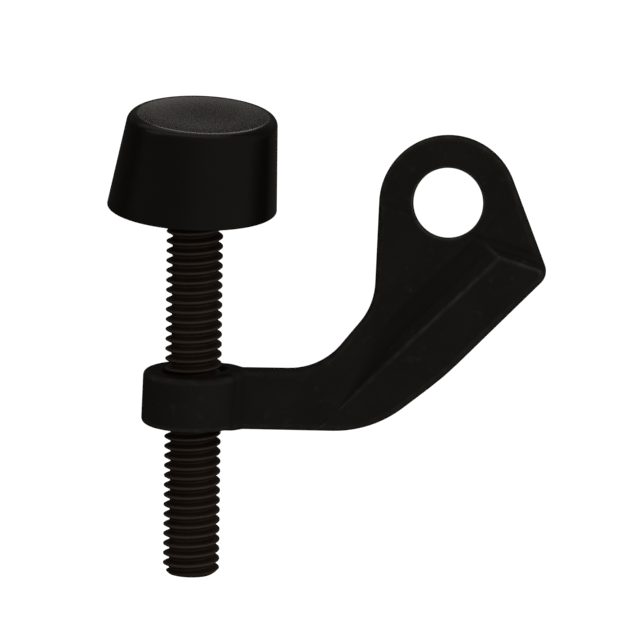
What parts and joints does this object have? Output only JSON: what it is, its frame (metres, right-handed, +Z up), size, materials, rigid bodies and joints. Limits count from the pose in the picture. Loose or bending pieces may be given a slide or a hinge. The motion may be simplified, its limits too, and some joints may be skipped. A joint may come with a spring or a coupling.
{
  "type": "door stop",
  "caption": "Hinge-pin door stop: a cast arm with a pin eye and a ridged heel bar, an adjusting screw through its threaded boss, and a tapered rubber bumper on the screw's head.",
  "frame": {"origin": "centre of the hinge-pin hole, on the eye plate's flat underside", "axes": "+Z up along the hinge pin, +Y the way the screw points with its bumper, apart from its 10 degree rise and a half degree towards +X, +X from the screw towards the eye"},
  "size_m": [0.0618, 0.0683, 0.0259],
  "materials": {
    "casting": "near-black satin coating over a casting, rubbed a little brighter along its edges",
    "screw": "brown-black oxide on steel",
    "rubber": "smooth moulded black rubber with a soft sheen"
  },
  "bodies": {
    "arm": {"hinge_arm": "casting"},
    "bumper": {"rubber_bumper": "rubber"},
    "screw": {"adjusting_screw": "screw"}
  },
  "joints": [
    {"name": "screw_travel", "type": "slide", "parent": "arm", "child": "bumper", "axis": [0.0086, 0.9848, 0.1736], "range_m": [-0.01975, 0.01975]},
    {"name": "screw_turn", "type": "hinge", "parent": "bumper", "child": "screw", "pos_m": [-0.03565, -0.028, 0.0039], "axis": [0.0086, 0.9848, 0.1736], "range_deg": [-5040, 5040]}
  ],
  "couplings": [
    {"joint": "screw_turn", "follows": "screw_travel", "rad_per_m": 4452.6}
  ]
}
